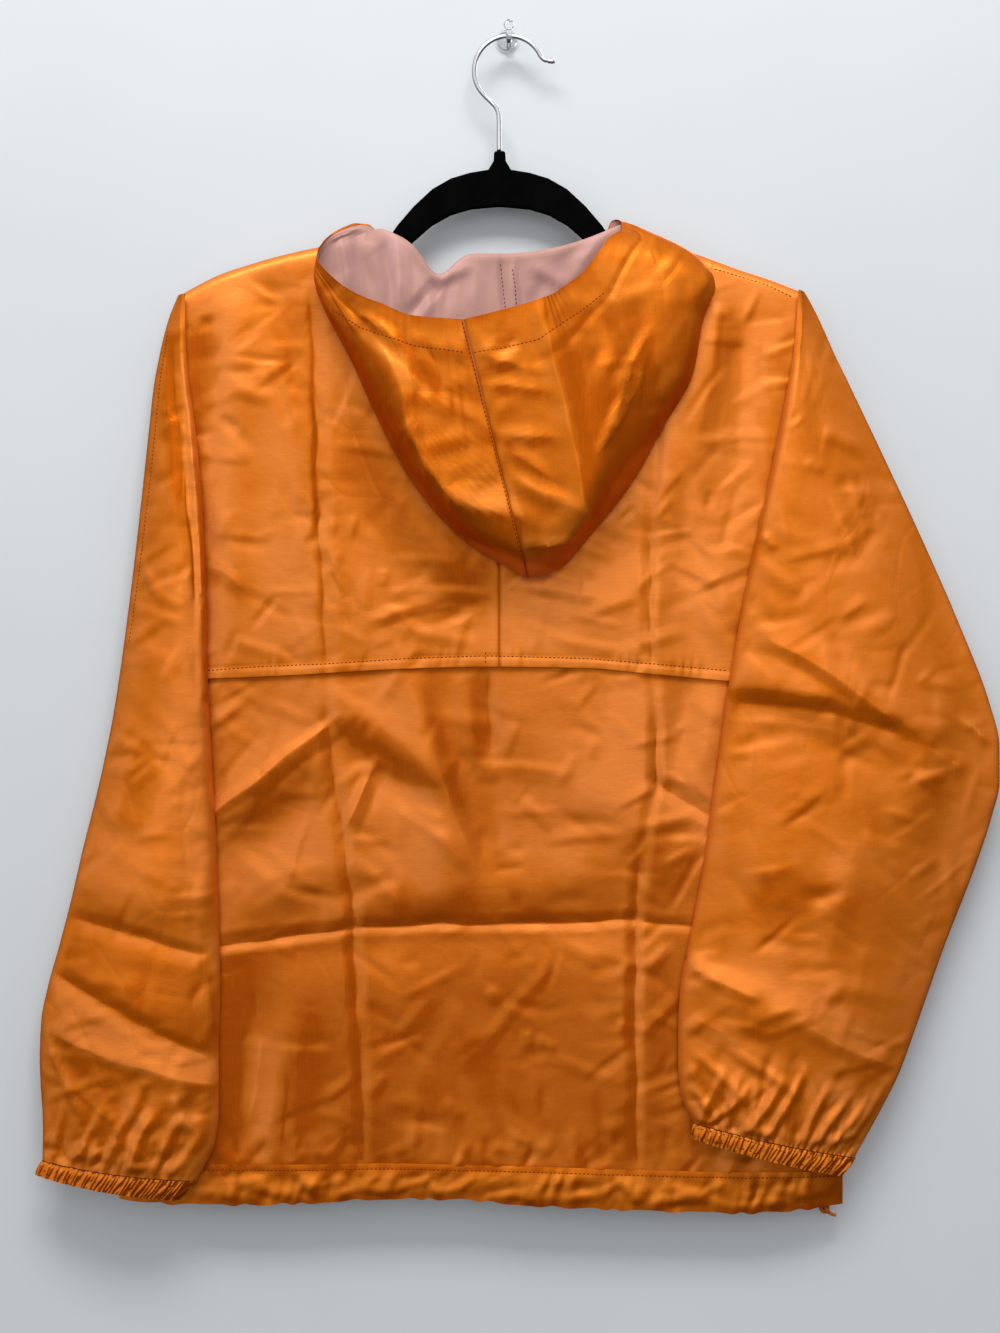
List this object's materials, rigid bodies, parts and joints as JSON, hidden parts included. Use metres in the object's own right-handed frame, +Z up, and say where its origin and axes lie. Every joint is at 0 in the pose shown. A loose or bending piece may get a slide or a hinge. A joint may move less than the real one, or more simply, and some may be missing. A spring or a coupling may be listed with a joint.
{
  "type": "hooded anorak on a clothes hanger and wall hook",
  "caption": "Thin nylon hooded anorak with a back cape yoke and elastic cuffs, hung flat on a clothes hanger from a small wall hook.",
  "frame": {"origin": "on the wall, at the centre of the wall hook's round back, where the wall holds the part", "axes": "+Z up, +Y into the wall, +X to the right of someone in the room who looks at the garment's back"},
  "size_m": [0.7212, 0.0833, 0.8968],
  "materials": {
    "nylon_body": "satin woven nylon, orange outside and pink inside",
    "nylon_yoke": "satin woven nylon, orange outside and pink inside",
    "nylon_sleeve": "satin woven nylon, orange outside and pink inside",
    "nylon_hood": "satin woven nylon, orange outside and pink inside",
    "nylon_casing": "satin woven nylon gathered over cord or elastic",
    "cord": "knotted cord",
    "black_flock": "black flocked plastic",
    "chrome_wire": "polished",
    "clear_plastic": "clear moulded plastic"
  },
  "bodies": {
    "root": {"back_lower": "nylon_body", "back_yoke_left": "nylon_yoke", "back_yoke_right": "nylon_yoke", "front_body": "nylon_body", "hem_back": "nylon_casing", "hem_front": "nylon_casing", "hem_cord_knot": "cord", "sleeve_left": "nylon_sleeve", "sleeve_right": "nylon_sleeve", "cuff_left": "nylon_casing", "cuff_right": "nylon_casing", "hood_left": "nylon_hood", "hood_right": "nylon_hood", "hanger_body": "black_flock", "hanger_hook": "chrome_wire", "wall_hook": "clear_plastic"}
  },
  "joints": []
}
